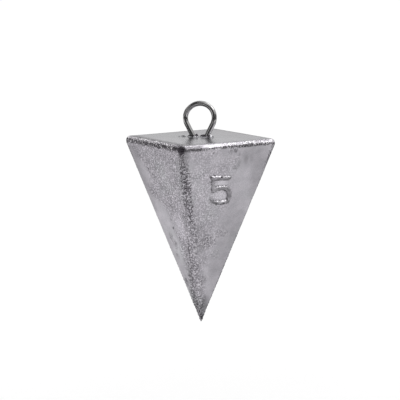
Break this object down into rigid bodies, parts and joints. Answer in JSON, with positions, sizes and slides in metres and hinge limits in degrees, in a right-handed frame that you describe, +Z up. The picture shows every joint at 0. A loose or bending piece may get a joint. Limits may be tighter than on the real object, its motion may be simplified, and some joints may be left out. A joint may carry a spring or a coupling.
{
  "type": "fishing sinker",
  "caption": "Pyramid fishing sinker: a cast lead body with a flat square top, four flat faces that taper to a point, and a bent wire eye for the line.",
  "frame": {"origin": "middle of the wire eye's round loop", "axes": "+Z up along the body's axis, from the point to the eye; +Y along the hole through the eye; the mould's parting plane is XZ, and holds two of the body's corners"},
  "size_m": [0.0384, 0.0382, 0.0565],
  "materials": {
    "cast_lead": "as-cast dull grey lead with a fine pitted skin",
    "eye_wire": "drawn steel wire, bright with a dark tone"
  },
  "bodies": {
    "root": {"lead_body": "cast_lead", "wire_eye": "eye_wire"}
  },
  "joints": []
}
